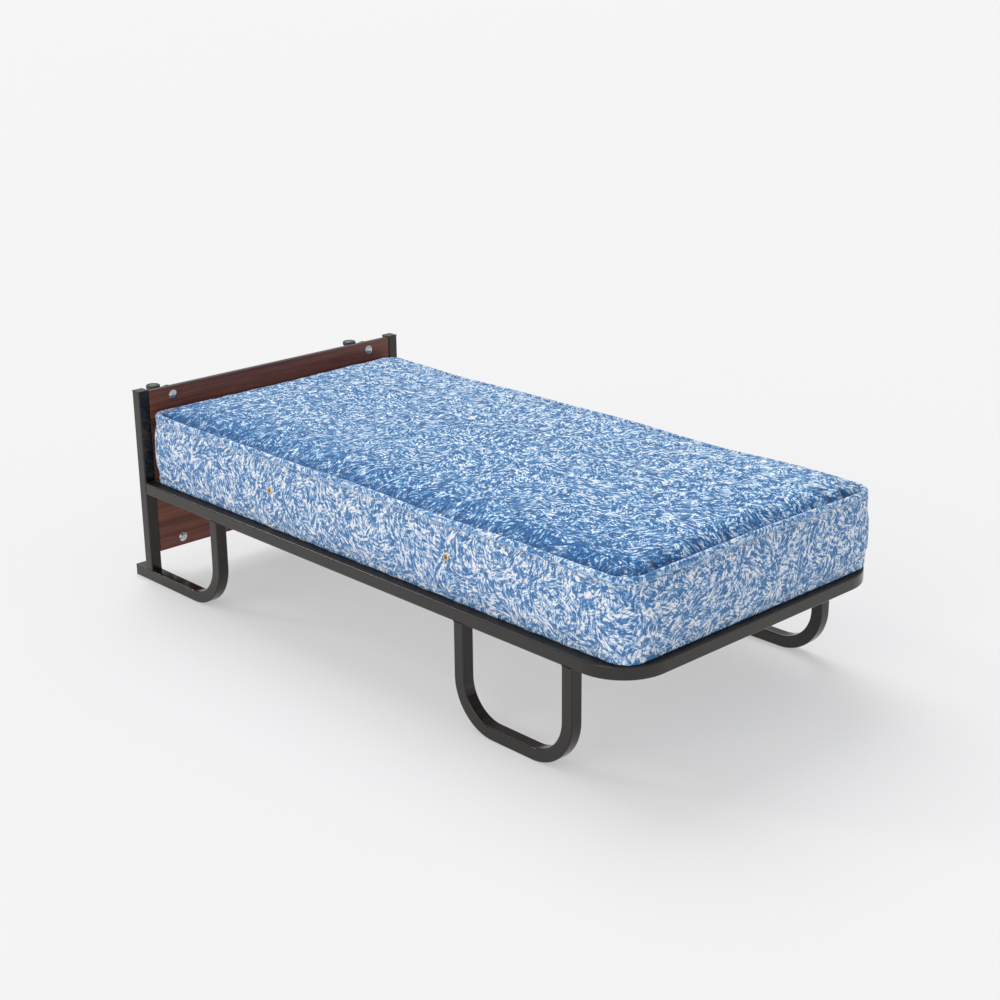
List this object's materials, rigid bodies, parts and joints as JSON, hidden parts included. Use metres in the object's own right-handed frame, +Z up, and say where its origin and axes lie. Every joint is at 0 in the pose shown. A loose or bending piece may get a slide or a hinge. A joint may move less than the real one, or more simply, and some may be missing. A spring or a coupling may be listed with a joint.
{
  "type": "rollaway guest bed",
  "caption": "Upright-storing guest bed: steel tube frame on loop legs, slatted deck, sprung mattress, wood headboard panel with castors behind it.",
  "frame": {"origin": "on the floor under the middle of the bounding box", "axes": "+Z up, +Y towards the head end with the panel and castors, X across the bed"},
  "size_m": [0.99, 2.028, 0.595],
  "materials": {
    "frame_paint": "gloss",
    "laminate": "satin",
    "bolt_chrome": "polished",
    "castor_steel": "satin",
    "castor_plastic": "satin",
    "wheel_tread": "matte",
    "hub_cap": "satin",
    "cap_plastic": "satin",
    "slat_wood": "satin",
    "holder_plastic": "matte",
    "mattress_fabric": "satin",
    "mattress_filling": "matte",
    "vent_brass": "satin"
  },
  "bodies": {
    "frame": {"castor_bolts": "bolt_chrome", "castor_lower_left_race": "castor_steel", "castor_lower_right_race": "castor_steel", "castor_nuts": "bolt_chrome", "castor_upper_left_race": "castor_steel", "castor_upper_right_race": "castor_steel", "castor_washers": "bolt_chrome", "foot_leg_left": "frame_paint", "foot_leg_right": "frame_paint", "head_cross_rail": "frame_paint", "head_skid_left": "frame_paint", "head_skid_right": "frame_paint", "headboard_panel": "laminate", "lower_panel_bar": "frame_paint", "main_rail": "frame_paint", "mattress_base_pad": "mattress_filling", "mattress_cover": "mattress_fabric", "mattress_spring_pockets": "mattress_filling", "mattress_top_pad": "mattress_filling", "mattress_vents": "vent_brass", "post_caps": "cap_plastic", "post_left": "frame_paint", "post_right": "frame_paint", "skid_end_caps": "cap_plastic", "slat_01": "slat_wood", "slat_02": "slat_wood", "slat_03": "slat_wood", "slat_04": "slat_wood", "slat_05": "slat_wood", "slat_06": "slat_wood", "slat_07": "slat_wood", "slat_08": "slat_wood", "slat_09": "slat_wood", "slat_10": "slat_wood", "slat_11": "slat_wood", "slat_12": "slat_wood", "slat_13": "slat_wood", "slat_14": "slat_wood", "slat_holders_left": "holder_plastic", "slat_holders_right": "holder_plastic", "upper_panel_bar": "frame_paint"},
    "castor_upper_left_swivel": {"castor_upper_left_yoke": "castor_plastic"},
    "castor_upper_left_roller": {"castor_upper_left_wheels": "wheel_tread", "castor_upper_left_hub_caps": "hub_cap", "castor_upper_left_axle": "bolt_chrome"},
    "castor_upper_right_swivel": {"castor_upper_right_yoke": "castor_plastic"},
    "castor_upper_right_roller": {"castor_upper_right_wheels": "wheel_tread", "castor_upper_right_hub_caps": "hub_cap", "castor_upper_right_axle": "bolt_chrome"},
    "castor_lower_left_swivel": {"castor_lower_left_yoke": "castor_plastic"},
    "castor_lower_left_roller": {"castor_lower_left_wheels": "wheel_tread", "castor_lower_left_hub_caps": "hub_cap", "castor_lower_left_axle": "bolt_chrome"},
    "castor_lower_right_swivel": {"castor_lower_right_yoke": "castor_plastic"},
    "castor_lower_right_roller": {"castor_lower_right_wheels": "wheel_tread", "castor_lower_right_hub_caps": "hub_cap", "castor_lower_right_axle": "bolt_chrome"}
  },
  "joints": [
    {"name": "castor_upper_left_turn", "type": "hinge", "parent": "frame", "child": "castor_upper_left_swivel", "pos_m": [-0.376, 0.9595, 0.564], "axis": [0, 1, 0], "continuous": true},
    {"name": "castor_upper_left_spin", "type": "hinge", "parent": "castor_upper_left_swivel", "child": "castor_upper_left_roller", "pos_m": [-0.396, 0.993, 0.564], "axis": [0, 0, 1], "continuous": true},
    {"name": "castor_upper_right_turn", "type": "hinge", "parent": "frame", "child": "castor_upper_right_swivel", "pos_m": [0.376, 0.9595, 0.564], "axis": [0, 1, 0], "continuous": true},
    {"name": "castor_upper_right_spin", "type": "hinge", "parent": "castor_upper_right_swivel", "child": "castor_upper_right_roller", "pos_m": [0.356, 0.993, 0.564], "axis": [0, 0, 1], "continuous": true},
    {"name": "castor_lower_left_turn", "type": "hinge", "parent": "frame", "child": "castor_lower_left_swivel", "pos_m": [-0.376, 0.9595, 0.115], "axis": [0, 1, 0], "continuous": true},
    {"name": "castor_lower_left_spin", "type": "hinge", "parent": "castor_lower_left_swivel", "child": "castor_lower_left_roller", "pos_m": [-0.396, 0.993, 0.115], "axis": [0, 0, 1], "continuous": true},
    {"name": "castor_lower_right_turn", "type": "hinge", "parent": "frame", "child": "castor_lower_right_swivel", "pos_m": [0.376, 0.9595, 0.115], "axis": [0, 1, 0], "continuous": true},
    {"name": "castor_lower_right_spin", "type": "hinge", "parent": "castor_lower_right_swivel", "child": "castor_lower_right_roller", "pos_m": [0.356, 0.993, 0.115], "axis": [0, 0, 1], "continuous": true}
  ]
}
